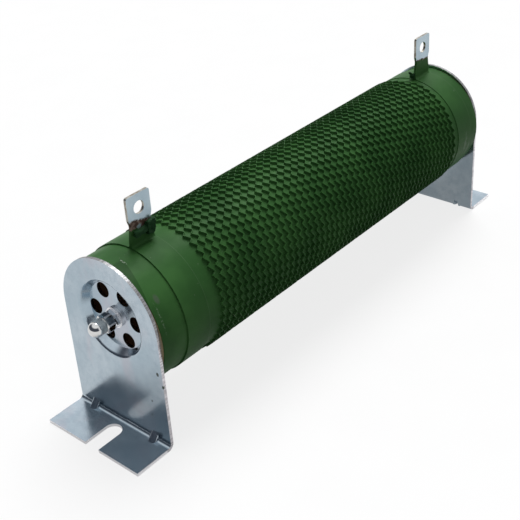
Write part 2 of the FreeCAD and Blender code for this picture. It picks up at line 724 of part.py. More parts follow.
pieces = [
    bracket("left", 0),
    bracket("right", 180),
    ceramic_tube(),
    mica_ring("left", f"-{TUBE_HALF} - sizes.mica_thickness"),
    mica_ring("right", TUBE_HALF),
    terminal_strap("left", f"-{HALF_LENGTH} + sizes.left_strap_setback + sizes.strap_width / 2"),
    terminal_strap("right", f"{HALF_LENGTH} - sizes.right_strap_setback - sizes.strap_width / 2"),
    resistance_ribbon(),
    tie_rod(),
    flat_washer("left", f"-{DISH_FLOOR} - sizes.washer_thickness"),
    flat_washer("right", DISH_FLOOR),
    jam_nut("left", f"-{DISH_FLOOR} - sizes.washer_thickness"),
    jam_nut("right", f"{DISH_FLOOR} + sizes.washer_thickness"),
    cap_nut("left", f"-{DISH_FLOOR} - {STACK_HEIGHT}"),
    cap_nut("right", f"{DISH_FLOOR} + {STACK_HEIGHT}"),
]
doc.recompute()

for feature in doc.Objects:
    if "Invalid" in feature.State or "Error" in feature.State:
        raise RuntimeError(f"{feature.Label} could not be computed: {feature.State}")
for piece in pieces:
    if piece.Shape.isNull() or not piece.Shape.isValid():
        raise RuntimeError(f"{piece.Label} has no valid shape")

os.makedirs("parts", exist_ok=True)
for piece in pieces:
    piece.Shape.exportStep(f"parts/{piece.Label}.step")
    print(piece.Label, len(piece.Shape.Solids), round(piece.Shape.Volume, 1))
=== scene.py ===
import math

import bpy
import numpy as np
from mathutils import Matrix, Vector


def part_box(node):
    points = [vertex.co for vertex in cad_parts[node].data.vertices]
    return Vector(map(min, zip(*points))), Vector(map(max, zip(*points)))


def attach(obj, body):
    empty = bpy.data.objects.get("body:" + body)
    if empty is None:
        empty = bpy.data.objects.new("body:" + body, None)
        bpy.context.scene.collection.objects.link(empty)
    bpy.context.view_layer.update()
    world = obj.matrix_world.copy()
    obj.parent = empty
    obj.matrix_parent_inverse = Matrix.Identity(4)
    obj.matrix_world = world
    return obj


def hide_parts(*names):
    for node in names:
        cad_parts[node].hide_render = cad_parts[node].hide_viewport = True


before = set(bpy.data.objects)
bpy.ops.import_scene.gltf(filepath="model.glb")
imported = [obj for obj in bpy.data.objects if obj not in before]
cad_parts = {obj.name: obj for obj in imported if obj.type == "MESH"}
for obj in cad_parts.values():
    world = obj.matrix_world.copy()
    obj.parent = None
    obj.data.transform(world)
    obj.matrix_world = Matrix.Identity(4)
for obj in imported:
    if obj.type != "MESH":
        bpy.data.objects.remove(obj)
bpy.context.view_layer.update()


# The ceramic tube. It is a fired, hollow tube that carries the winding, brushed and baked with
# green enamel like everything else on it, so only its two bare ends show between the end
# brackets and the terminal straps.
MM = 0.001
AXIS_HEIGHT = (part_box("ceramic_tube")[0][2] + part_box("ceramic_tube")[1][2]) / 2
TUBE_RADIUS = (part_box("ceramic_tube")[1][2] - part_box("ceramic_tube")[0][2]) / 2
WALL = 8.4 * MM
SCRAPE = (-0.1257, -0.0060, 0.0872)
RUBBED_PATCH = (-0.1263, -0.0247, 0.0757)
SPECKLE_LINE = (-0.1287, -0.0290, 0.0683)
# Where the painted shadow of the bracket's rim lies on the tube's front.
SHADE_SLANT = (1.0, -0.3, 0.0)
SHADE_EDGE = -0.1235
SHADE_START = -0.0042


def linear(red, green, blue):
    """Colour as a shader takes it, from the 0 to 255 values that a picture holds."""
    parts = []
    for level in (red, green, blue):
        share = level / 255
        parts.append(share / 12.92 if share <= 0.04045 else ((share + 0.055) / 1.055) ** 2.4)
    return (parts[0], parts[1], parts[2], 1.0)


def add_node(tree, kind, **settings):
    """Shader node of one kind; settings name its sockets or its own properties."""
    node = tree.nodes.new(kind)
    for name, value in settings.items():
        if hasattr(node, name):
            setattr(node, name, value)
        else:
            node.inputs[name.replace("_", " ")].default_value = value
    return node


def noise_from(tree, coordinates, scale, detail=3.0, roughness=0.5, stretch=(1, 1, 1)):
    """Noise over the surface; the scale is in waves to a metre, and stretch squeezes it per axis."""
    placed = add_node(tree, "ShaderNodeMapping")
    placed.inputs["Scale"].default_value = stretch
    tree.links.new(coordinates, placed.inputs["Vector"])
    noise = add_node(tree, "ShaderNodeTexNoise", Scale=scale, Detail=detail, Roughness=roughness)
    tree.links.new(placed.outputs["Vector"], noise.inputs["Vector"])
    return noise.outputs["Fac"]


def ramp_from(tree, value, low, high, start=0.0, end=1.0):
    """Value eased from start at low to end at high, flat beyond both."""
    mapped = add_node(tree, "ShaderNodeMapRange", interpolation_type="SMOOTHSTEP")
    for name, setting in (("From Min", low), ("From Max", high), ("To Min", start), ("To Max", end)):
        mapped.inputs[name].default_value = setting
    tree.links.new(value, mapped.inputs["Value"])
    return mapped.outputs["Result"]


def blend_colours(tree, share, under, over, mode="MIX"):
    """Colour that goes from under to over with a share; each is a socket or a colour."""
    mix = add_node(tree, "ShaderNodeMix", data_type="RGBA", blend_type=mode)
    for socket, value in ((mix.inputs[0], share), (mix.inputs[6], under), (mix.inputs[7], over)):
        if isinstance(value, bpy.types.NodeSocket):
            tree.links.new(value, socket)
        else:
            socket.default_value = value
    return mix.outputs[2]


def work_out(tree, operation, first, second=0.0):
    """Arithmetic on two sockets or numbers, kept between 0 and 1."""
    node = add_node(tree, "ShaderNodeMath", operation=operation, use_clamp=True)
    for socket, value in zip(node.inputs, (first, second)):
        if isinstance(value, bpy.types.NodeSocket):
            tree.links.new(value, socket)
        else:
            socket.default_value = value
    return node.outputs["Value"]


def new_group(name, inputs, outputs):
    """Empty shader node group with its named inputs and outputs."""
    group = bpy.data.node_groups.new(name, "ShaderNodeTree")
    for socket, kind, value in inputs:
        item = group.interface.new_socket(socket, in_out="INPUT", socket_type=kind)
        if value is not None:
            item.default_value = value
    for socket, kind in outputs:
        group.interface.new_socket(socket, in_out="OUTPUT", socket_type=kind)
    return group, group.nodes.new("NodeGroupInput"), group.nodes.new("NodeGroupOutput")


def enamel_group():
    """Baked enamel over ceramic: clouded colour, fine dust specks and a softly uneven gloss."""
    group, given, out = new_group(
        "baked_enamel",
        [("Position", "NodeSocketVector", None), ("Colour", "NodeSocketColor", (0.05, 0.1, 0.04, 1)),
         ("Dust", "NodeSocketFloat", 1.0)],
        [("Colour", "NodeSocketColor"), ("Roughness", "NodeSocketFloat"), ("Height", "NodeSocketFloat")],
    )
    position = given.outputs["Position"]
    clouds = noise_from(group, position, 38.0, 3.0, 0.55)
    brushing = noise_from(group, position, 120.0, 4.0, 0.6, (0.35, 1, 1))
    paler = blend_colours(group, 1.0, given.outputs["Colour"], (1.26, 1.2, 1.24, 1), "MULTIPLY")
    deeper = blend_colours(group, 1.0, given.outputs["Colour"], (0.76, 0.81, 0.8, 1), "MULTIPLY")
    clouded = blend_colours(group, ramp_from(group, clouds, 0.35, 0.68), deeper, paler)
    brushed = blend_colours(group, ramp_from(group, brushing, 0.3, 0.75, 0.0, 0.35), clouded, deeper)
    specks = ramp_from(group, noise_from(group, position, 900.0, 1.0, 0.5), 0.735, 0.79)
    where = ramp_from(group, noise_from(group, position, 55.0, 2.0, 0.5), 0.5, 0.66)
    dust = work_out(group, "MULTIPLY", work_out(group, "MULTIPLY", specks, where), given.outputs["Dust"])
    dusty = blend_colours(group, dust, brushed, linear(118, 132, 112))
    group.links.new(dusty, out.inputs["Colour"])
    group.links.new(ramp_from(group, brushing, 0.2, 0.8, 0.38, 0.56), out.inputs["Roughness"])
    group.links.new(work_out(group, "MULTIPLY_ADD", clouds, 0.6), out.inputs["Height"])
    return group


baked_enamel = enamel_group()
ENAMEL_GREEN = linear(55, 97, 49)
ENAMEL_GLOSS = 0.06


def new_material(name):
    """Material with its tree, its Principled shader and the place on the piece."""
    material = bpy.data.materials.new(name)
    material.use_nodes = True
    tree = material.node_tree
    shader = tree.nodes["Principled BSDF"]
    position = tree.nodes.new("ShaderNodeTexCoord").outputs["Object"]
    return material, tree, shader, position


def place_group(tree, group, **sockets):
    """A group's node in a material, with its inputs linked or set."""
    node = tree.nodes.new("ShaderNodeGroup")
    node.node_tree = group
    for name, value in sockets.items():
        if isinstance(value, bpy.types.NodeSocket):
            tree.links.new(value, node.inputs[name])
        else:
            node.inputs[name].default_value = value
    return node


def add_bump(tree, shader, height, depth, strength=1.0):
    """Small relief of a depth in metres, for grain that is too fine for the mesh."""
    bump = add_node(tree, "ShaderNodeBump", Strength=strength, Distance=depth)
    tree.links.new(height, bump.inputs["Height"])
    tree.links.new(bump.outputs["Normal"], shader.inputs["Normal"])


def assign(node_name, material):
    """Give a CAD node a finish of its own."""
    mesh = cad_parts[node_name].data
    mesh.materials.clear()
    mesh.materials.append(material)


def radius_about(tree, position, height):
    """Distance from a line along X at a height above the floor."""
    lowered = add_node(tree, "ShaderNodeVectorMath", operation="SUBTRACT")
    lowered.inputs[1].default_value = (0, 0, height)
    across = add_node(tree, "ShaderNodeVectorMath", operation="MULTIPLY")
    across.inputs[1].default_value = (0, 1, 1)
    reach = add_node(tree, "ShaderNodeVectorMath", operation="LENGTH")
    tree.links.new(position, lowered.inputs[0])
    tree.links.new(lowered.outputs["Vector"], across.inputs[0])
    tree.links.new(across.outputs["Vector"], reach.inputs[0])
    return reach.outputs["Value"]


def spot(tree, position, place, radius, edge=0.8, squeeze=(1, 1, 1)):
    """Round or drawn-out mark about a place: 1 inside, and faded out at its radius."""
    moved = add_node(tree, "ShaderNodeVectorMath", operation="SUBTRACT")
    moved.inputs[1].default_value = place
    drawn = add_node(tree, "ShaderNodeVectorMath", operation="MULTIPLY")
    drawn.inputs[1].default_value = squeeze
    reach = add_node(tree, "ShaderNodeVectorMath", operation="LENGTH")
    tree.links.new(position, moved.inputs[0])
    tree.links.new(moved.outputs["Vector"], drawn.inputs[0])
    tree.links.new(drawn.outputs["Vector"], reach.inputs[0])
    return ramp_from(tree, reach.outputs["Value"], radius * edge, radius, 1.0, 0.0)


def measure_along(tree, position, direction):
    """How far a place lies along a direction, for marks with straight borders."""
    along = add_node(tree, "ShaderNodeVectorMath", operation="DOT_PRODUCT")
    along.inputs[1].default_value = direction
    tree.links.new(position, along.inputs[0])
    return along.outputs["Value"]


def tube_enamel():
    """Enamel outside, scraped and rubbed near the bracket, with a painted shadow of the bracket's rim, and
    bare ceramic in the bore.
    """
    material, tree, shader, position = new_material("tube_enamel")
    enamel = place_group(tree, baked_enamel, Position=position, Colour=ENAMEL_GREEN, Dust=1.0)
    coated = ramp_from(tree, radius_about(tree, position, AXIS_HEIGHT),
                       TUBE_RADIUS - 0.9 * WALL, TUBE_RADIUS - 0.8 * WALL)
    ceramic = blend_colours(tree, noise_from(tree, position, 300.0),
                            linear(150, 108, 82), linear(186, 144, 112))
    fine = noise_from(tree, position, 1400.0, 2.0, 0.6)
    finest = noise_from(tree, position, 2600.0, 1.0, 0.6)
    scrape = work_out(tree, "MULTIPLY", spot(tree, position, SCRAPE, 2.4 * MM, 0.2, (3.4, 0.8, 1)),
                      ramp_from(tree, fine, 0.48, 0.56))
    pale_mark = work_out(tree, "MULTIPLY",
                      spot(tree, position, RUBBED_PATCH, 2.6 * MM, 0.4, (1.5, 1, 0.8)), 0.55)
    line = work_out(tree, "MULTIPLY", spot(tree, position, SPECKLE_LINE, 8.0 * MM, 0.7, (14, 0.9, 0.9)),
                    ramp_from(tree, finest, 0.56, 0.66, 0.0, 0.55))
    # Painted shadow: a dark green strip on the tube beside the bracket, where the plate's rim shades it.
    outer = measure_along(tree, position, SHADE_SLANT)
    front = measure_along(tree, position, (0, 1, 0))
    shade = work_out(tree, "MULTIPLY",
                     ramp_from(tree, outer, SHADE_EDGE - 0.2 * MM, SHADE_EDGE + 0.2 * MM, 0.5, 0.0),
                     ramp_from(tree, front, SHADE_START - MM, SHADE_START + MM, 1.0, 0.0))
    painted_shadow = blend_colours(tree, shade, enamel.outputs["Colour"], linear(18, 52, 14))
    patched = blend_colours(tree, pale_mark, painted_shadow, linear(92, 100, 90))
    scraped = blend_colours(tree, work_out(tree, "MAXIMUM", scrape, line), patched, linear(168, 184, 164))
    tree.links.new(blend_colours(tree, coated, ceramic, scraped), shader.inputs["Base Color"])
    tree.links.new(enamel.outputs["Roughness"], shader.inputs["Roughness"])
    shader.inputs["Specular IOR Level"].default_value = ENAMEL_GLOSS
    add_bump(tree, shader, enamel.outputs["Height"], 0.0004)
    return material


assign("ceramic_tube", tube_enamel())


# The resistance ribbon. It is a thin strip of resistance alloy, corrugated across its width and
# wound on edge in a left-handed helix, so each turn stands out of the tube as a wavy fin. The
# whole winding was dipped and baked, and the enamel lies in smooth hollows between the turns.
RIBBON_TURNS = 49
WAVES_PER_TURN = 45.25
SWAY = 1.0 * MM
ONE_WAVE = (0.92, 0.8, 0.42, 0.0, -0.42, -0.8, -0.92, 0.0)
RIM_RADIUS = 33.0 * MM
RIM_WIDTH = 0.4 * MM
FOOT_WIDTH = 0.9 * MM
HOLLOW_RADIUS = 31.5 * MM
FOOT_RADIUS = 31.65 * MM
SLEEVE_INSIDE = TUBE_RADIUS + 0.02 * MM
START_ANGLE = 15.0
LEAD_IN = 5.6 * MM
LEAD_OUT = 4.5 * MM
RUN_IN_TURNS = 0.1
LEFT_SLEEVE_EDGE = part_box("left_terminal_strap")[1][0] + 0.05 * MM
RIGHT_SLEEVE_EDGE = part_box("right_terminal_strap")[0][0] - 0.05 * MM
SLEEVE_EDGE_RADIUS = 31.75 * MM
SEAM = 0.002 * MM


def on_tube(along, turn, radius):
    """Places round the tube's axis; turns run from the top towards the back."""
    angle = turn * 2 * math.pi
    return np.stack([along, radius * np.sin(angle), AXIS_HEIGHT + radius * np.cos(angle)], axis=-1)


def ribbon_rows():
    """Helical rows of points across one fin, from the hollow on its left to the one on its right."""
    per_turn = round(WAVES_PER_TURN * len(ONE_WAVE))
    steps = np.arange(RIBBON_TURNS * per_turn + 1)
    turn = steps / per_turn
    first = LEFT_SLEEVE_EDGE + LEAD_IN
    pitch = (RIGHT_SLEEVE_EDGE - LEAD_OUT - first) / RIBBON_TURNS
    middle = first + pitch * turn
    rise = np.clip(np.minimum(turn, RIBBON_TURNS - turn) / RUN_IN_TURNS, 0, 1)
    sway = SWAY * np.take(ONE_WAVE, steps % len(ONE_WAVE)) * rise
    rows = []
    for side, radius, follows in (
        (-pitch / 2, HOLLOW_RADIUS, 0.0),
        (-FOOT_WIDTH / 2, FOOT_RADIUS, 0.92),
        (-RIM_WIDTH / 2, RIM_RADIUS, 1.0),
        (RIM_WIDTH / 2, RIM_RADIUS, 1.0),
        (FOOT_WIDTH / 2, FOOT_RADIUS, 0.92),
        (pitch / 2, HOLLOW_RADIUS, 0.0),
    ):
        radii = HOLLOW_RADIUS + (radius - HOLLOW_RADIUS) * rise
        rows.append(on_tube(middle + side + sway * follows, START_ANGLE / 360 + turn, radii))
    return rows, per_turn


def grid_faces(first, rows, columns):
    """Quads between neighbouring rows of points that are numbered row after row."""
    row, column = np.meshgrid(np.arange(rows - 1), np.arange(columns - 1), indexing="ij")
    corner = first + row * columns + column
    return np.stack([corner, corner + columns, corner + columns + 1, corner + 1], axis=-1).reshape(-1, 4)


def wound_ribbon():
    """The fins and the enamel between them, with the smooth sleeves at both ends."""
    rows, per_turn = ribbon_rows()
    fin_count = len(rows[0])
    places = [np.concatenate(rows)]
    faces = [grid_faces(0, len(rows), fin_count)]
    used = len(rows) * fin_count

    around = np.arange(per_turn + 1) / per_turn
    for edge, inner_edge, side in (
        (LEFT_SLEEVE_EDGE, rows[0][:per_turn + 1], "left"),
        (RIGHT_SLEEVE_EDGE, rows[-1][-per_turn - 1:], "right"),
    ):
        turn = START_ANGLE / 360 + around
        end = on_tube(np.full(per_turn + 1, edge), turn, SLEEVE_EDGE_RADIUS)
        inside = on_tube(np.full(per_turn + 1, edge), turn, SLEEVE_INSIDE)
        shoulder = on_tube(end[:, 0] * 0.45 + inner_edge[:, 0] * 0.55, turn, HOLLOW_RADIUS)
        sleeve = [inside, end, shoulder, inner_edge]
        if side == "right":
            sleeve.reverse()
        places.append(np.concatenate(sleeve))
        faces.append(grid_faces(used, len(sleeve), per_turn + 1))
        if side == "left":
            left_inside = used
        else:
            right_inside = used + (len(sleeve) - 1) * (per_turn + 1)
        used += len(sleeve) * (per_turn + 1)
    column = np.arange(per_turn)
    lining = np.stack([right_inside + column, left_inside + column, left_inside + column + 1,
                       right_inside + column + 1], axis=-1)
    faces.append(lining)

    mesh = bpy.data.meshes.new("wound_ribbon")
    mesh.from_pydata(np.concatenate(places), [], np.concatenate(faces).tolist())
    piece = bpy.data.objects.new("wound_ribbon", mesh)
    bpy.context.collection.objects.link(piece)
    return piece


def deselect_all():
    """Leave nothing selected, because an operator acts on all that is."""
    bpy.ops.object.select_all(action="DESELECT")


def edit(piece):
    """Open one piece in edit mode with nothing else selected."""
    deselect_all()
    bpy.context.view_layer.objects.active = piece
    piece.select_set(True)
    bpy.ops.object.mode_set(mode="EDIT")


def close_seams(piece, distance):
    """Merge the points that lie together and turn all faces outwards."""
    edit(piece)
    bpy.ops.mesh.select_all(action="SELECT")
    bpy.ops.mesh.remove_doubles(threshold=distance)
    bpy.ops.mesh.normals_make_consistent(inside=False)
    bpy.ops.object.mode_set(mode="OBJECT")


def smooth(piece, degrees):
    """Shade smooth, but keep edges sharper than an angle."""
    deselect_all()
    bpy.context.view_layer.objects.active = piece
    piece.select_set(True)
    bpy.ops.object.shade_smooth_by_angle(angle=math.radians(degrees))


def winding_enamel():
    """The same enamel, a little paler along the ribbon's rim."""
    material, tree, shader, position = new_material("winding_enamel")
    enamel = place_group(tree, baked_enamel, Position=position, Colour=ENAMEL_GREEN, Dust=1.0)
    radius = radius_about(tree, position, AXIS_HEIGHT)
    on_rim = ramp_from(tree, radius, RIM_RADIUS - 0.3 * MM, RIM_RADIUS - 0.02 * MM)
    rim_colour = blend_colours(tree, 1.0, enamel.outputs["Colour"], (1.35, 1.3, 1.4, 1), "MULTIPLY")
    colour = blend_colours(tree, work_out(tree, "MULTIPLY", on_rim, 0.25),
                           enamel.outputs["Colour"], rim_colour)
    tree.links.new(colour, shader.inputs["Base Color"])
    tree.links.new(enamel.outputs["Roughness"], shader.inputs["Roughness"])
    shader.inputs["Specular IOR Level"].default_value = ENAMEL_GLOSS
    add_bump(tree, shader, enamel.outputs["Height"], 0.0003)
    return material


ribbon = wound_ribbon()
close_seams(ribbon, SEAM)
smooth(ribbon, 58)
ribbon.data.materials.append(winding_enamel())
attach(ribbon, "root")
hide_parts("resistance_ribbon")


# The two terminal straps. Each is a band of zinc-plated strip bent round the tube, its ends
# pinched together into a drilled tab. The band and the neck were enamelled with the tube, and
# the tab was masked, so it stays bare, with a scorched line where the ribbon was brazed on.
LEFT_STRAP_MIDDLE = (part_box("left_terminal_strap")[0][0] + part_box("left_terminal_strap")[1][0]) / 2
RIGHT_STRAP_MIDDLE = (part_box("right_terminal_strap")[0][0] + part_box("right_terminal_strap")[1][0]) / 2
HALF_STRAP = 7.0 * MM
LAYER_MIDDLE = -1.8 * MM
RAGGEDNESS = 4.0 * MM
PAINT_EDGE = 2.0 * MM
FLUX_PLACE = (-1.2 * MM, -2.6 * MM, 0.0958)
FLUX_RADIUS = 2.6 * MM
LEFT_PAINT_LEVEL = 0.0969
RIGHT_PAINT_LEVEL = 0.0984
RIGHT_STRAP_RUBS = (
    ((0.1186, -0.0312, 0.0520), 9.5 * MM, (4.5, 1, 1)),
    ((0.1226, -0.0312, 0.0470), 7.0 * MM, (4.5, 1, 1)),
    ((0.1226, -0.0200, 0.0808), 1.3 * MM, (1, 1, 2)),
)


def axis_of(tree, vector, axis):
    """One part of a vector, without its sign."""
    split = tree.nodes.new("ShaderNodeSeparateXYZ")
    tree.links.new(vector, split.inputs["Vector"])
    size = add_node(tree, "ShaderNodeMath", operation="ABSOLUTE")
    tree.links.new(split.outputs[axis], size.inputs[0])
    return size.outputs["Value"]


def strap_finish(name, middle, paint_level, scorch_width, fall, rubs=()):
    """Bare zinc above the paint line, a scorched band at it, and enamel over the band below."""
    material, tree, shader, position = new_material(name)
    enamel = place_group(tree, baked_enamel, Position=position, Colour=ENAMEL_GREEN, Dust=0.6)
    split = tree.nodes.new("ShaderNodeSeparateXYZ")
    tree.links.new(position, split.inputs["Vector"])
    ragged = noise_from(tree, position, 420.0, 4.0, 0.65)
    slope = ramp_from(tree, split.outputs["X"], middle - HALF_STRAP, middle + HALF_STRAP, 0.0, fall)
    level = add_node(tree, "ShaderNodeMath", operation="ADD")
    tree.links.new(split.outputs["Z"], level.inputs[0])
    tree.links.new(slope, level.inputs[1])
    height = add_node(tree, "ShaderNodeMath", operation="MULTIPLY_ADD")
    height.inputs[1].default_value = RAGGEDNESS
    tree.links.new(ragged, height.inputs[0])
    tree.links.new(level.outputs["Value"], height.inputs[2])
    seam = height.outputs["Value"]
    bare = ramp_from(tree, seam, paint_level + PAINT_EDGE, paint_level + PAINT_EDGE + 0.2 * MM)
    clean = ramp_from(tree, seam, paint_level + scorch_width, paint_level + scorch_width + 0.9 * MM)
    scorch = blend_colours(tree, ramp_from(tree, ragged, 0.42, 0.6),
                           linear(80, 62, 52), linear(146, 126, 114))
    dull = blend_colours(tree, ramp_from(tree, noise_from(tree, position, 90.0), 0.35, 0.7),
                         linear(162, 180, 190), linear(180, 196, 204))
    flux_place = (middle + FLUX_PLACE[0], FLUX_PLACE[1], FLUX_PLACE[2])
    flux = work_out(tree, "MULTIPLY", spot(tree, position, flux_place, FLUX_RADIUS, 0.6),
                    ramp_from(tree, ragged, 0.45, 0.55))
    fluxed = blend_colours(tree, flux, scorch, linear(150, 176, 178))
    zinc = blend_colours(tree, clean, fluxed, dull)
    shifted = add_node(tree, "ShaderNodeMath", operation="ADD")
    shifted.inputs[1].default_value = -LAYER_MIDDLE
    tree.links.new(split.outputs["Y"], shifted.inputs[0])
    distance = add_node(tree, "ShaderNodeMath", operation="ABSOLUTE")
    tree.links.new(shifted.outputs["Value"], distance.inputs[0])
    across = distance.outputs["Value"]
    between = ramp_from(tree, across, 0.12 * MM, 0.3 * MM, 1.0, 0.0)
    on_tab = work_out(tree, "MULTIPLY", between, clean)
    layered = blend_colours(tree, work_out(tree, "MULTIPLY", on_tab, 0.8), zinc, linear(70, 62, 56))
    facing = axis_of(tree, tree.nodes.new("ShaderNodeTexCoord").outputs["Normal"], "Y")
    cut = work_out(tree, "MULTIPLY", ramp_from(tree, facing, 0.3, 0.6, 1.0, 0.0), clean)
    cut_colour = blend_colours(tree, ramp_from(tree, ragged, 0.3, 0.65), linear(128, 116, 100),
                               linear(178, 177, 170))
    edged = blend_colours(tree, cut, layered, cut_colour)
    inner_line = ramp_from(tree, split.outputs["X"], middle + HALF_STRAP - 0.25 * MM,
                           middle + HALF_STRAP - 0.05 * MM)
    faint = blend_colours(tree, work_out(tree, "MULTIPLY", inner_line, 0.35), enamel.outputs["Colour"],
                          linear(112, 138, 108))
    for place, reach, squeeze in rubs:
        rub = work_out(tree, "MULTIPLY", spot(tree, position, place, reach, 0.15, squeeze),
                       ramp_from(tree, ragged, 0.4, 0.62, 0.1, 0.6))
        faint = blend_colours(tree, rub, faint, linear(132, 152, 130))
    tree.links.new(blend_colours(tree, bare, faint, edged), shader.inputs["Base Color"])
    tree.links.new(work_out(tree, "MULTIPLY", bare, clean), shader.inputs["Metallic"])
    tree.links.new(ramp_from(tree, bare, 0, 1, 0.46, 0.34), shader.inputs["Roughness"])
    shader.inputs["Specular IOR Level"].default_value = ENAMEL_GLOSS
    add_bump(tree, shader, enamel.outputs["Height"], 0.0003)
    return material


left_finish = strap_finish("left_strap_finish", LEFT_STRAP_MIDDLE, LEFT_PAINT_LEVEL, 5.6 * MM, 2.6 * MM)
right_finish = strap_finish("right_strap_finish", RIGHT_STRAP_MIDDLE, RIGHT_PAINT_LEVEL, 2.5 * MM, 0.8 * MM,
                            RIGHT_STRAP_RUBS)
assign("left_terminal_strap", left_finish)
assign("right_terminal_strap", right_finish)


# The joint at each neck. There the ribbon's end was turned up beside the strap and brazed to it,
# and the enamel ran over the joint in thick, ragged folds that stand out from the neck.
NECK_FRONT = -3.6 * MM
LUMP_SIZE = 2.2 * MM
LUMP_DEPTH = 2.6 * MM


def enamel_fold(name, middle, reach, height, thickness):
    """Ragged fold of enamel: a small block, cut up finely, pushed into lumps and smoothed."""
    deselect_all()
    bpy.ops.mesh.primitive_cube_add(size=1.0, location=middle, scale=(reach, thickness, height))
    fold = bpy.context.active_object
    fold.name = name
    bpy.ops.object.transform_apply(location=True, rotation=True, scale=True)
    edit(fold)
    bpy.ops.mesh.select_all(action="SELECT")
    bpy.ops.mesh.subdivide(number_cuts=9)
    bpy.ops.object.mode_set(mode="OBJECT")
    rough = bpy.data.textures.new(f"{name}_lumps", "CLOUDS")
    rough.noise_scale = LUMP_SIZE
    for kind in ("DISPLACE", "SMOOTH"):
        shaped = fold.modifiers.new(kind.lower(), kind)
        if kind == "DISPLACE":
            shaped.texture = rough
            shaped.strength = LUMP_DEPTH
            shaped.mid_level = 0.55
        else:
            shaped.factor = 0.5
            shaped.iterations = 1
        bpy.ops.object.modifier_apply(modifier=shaped.name)
    close_seams(fold, SEAM)
    smooth(fold, 50)
    fold.data.materials.append(fold_enamel)
    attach(fold, "root")
    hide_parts("resistance_ribbon")


def thick_enamel():
    """The same enamel in a darker green, on the folds at the joint."""
    material, tree, shader, position = new_material("thick_enamel")
    enamel = place_group(tree, baked_enamel, Position=position, Colour=linear(34, 66, 38), Dust=0.0)
    tree.links.new(enamel.outputs["Colour"], shader.inputs["Base Color"])
    tree.links.new(enamel.outputs["Roughness"], shader.inputs["Roughness"])
    shader.inputs["Specular IOR Level"].default_value = ENAMEL_GLOSS
    add_bump(tree, shader, enamel.outputs["Height"], 0.0004)
    return material


fold_enamel = thick_enamel()
for name, middle, reach, height, thickness in (
    ("left_enamel_fold", (LEFT_STRAP_MIDDLE + 0.6 * MM, NECK_FRONT, 0.0948), 12.0, 2.8, 2.0),
    ("left_enamel_lump", (LEFT_STRAP_MIDDLE + 4.0 * MM, NECK_FRONT + 0.4 * MM, 0.0948), 4.4, 6.6, 3.4),
    ("right_enamel_lump", (RIGHT_STRAP_MIDDLE - 7.2 * MM, -0.6 * MM, 0.0905), 1.6, 3.6, 3.4),
):
    enamel_fold(name, middle, reach * MM, height * MM, thickness * MM)


# The end brackets. Both are one pressing of zinc-plated sheet steel, turned end for end: an
# arched plate with a vented dish that the tube hangs on, a foot with an open slot, and two ribs
# pressed into the fold. The plating is a cloudy blue-grey, and it is thin on the sheared edges.
SHEET = 1.6 * MM
HALF_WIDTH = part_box("left_bracket")[1][1]
HALF_WIDTH_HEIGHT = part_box("left_bracket")[1][2] - HALF_WIDTH
FOLD_OUTSIDE = -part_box("left_mica_ring")[0][0] + SHEET + 2.5 * MM


def sheared_edge(tree, position):
    """Masks of the sheet's cut edge: its sides and arch together, its arch alone, and its foot."""
    facing = tree.nodes.new("ShaderNodeTexCoord").outputs["Normal"]
    sideways = ramp_from(tree, axis_of(tree, facing, "X"), 0.12, 0.3, 1.0, 0.0)
    upright = ramp_from(tree, axis_of(tree, facing, "Z"), 0.3, 0.5, 1.0, 0.0)
    edge = HALF_WIDTH - 0.3 * MM
    side = ramp_from(tree, axis_of(tree, position, "Y"), edge, edge + 0.1 * MM)
    arch = ramp_from(tree, radius_about(tree, position, HALF_WIDTH_HEIGHT), edge, edge + 0.1 * MM)
    above = ramp_from(tree, axis_of(tree, position, "Z"), HALF_WIDTH_HEIGHT, HALF_WIDTH_HEIGHT + MM)
    outline = work_out(tree, "MAXIMUM", side, work_out(tree, "MULTIPLY", arch, above))
    low = ramp_from(tree, axis_of(tree, position, "Z"), SHEET - 0.1 * MM, SHEET - 0.05 * MM, 1.0, 0.0)
    out = ramp_from(tree, axis_of(tree, position, "X"), FOLD_OUTSIDE, FOLD_OUTSIDE + 0.2 * MM)
    foot = work_out(tree, "MULTIPLY", work_out(tree, "MULTIPLY", low, out), upright)
    upper = ramp_from(tree, axis_of(tree, position, "Z"),
                      HALF_WIDTH_HEIGHT - 4 * MM, HALF_WIDTH_HEIGHT + 8 * MM)
    standing = work_out(tree, "MULTIPLY", outline, sideways)
    return standing, work_out(tree, "MULTIPLY", standing, upper), foot


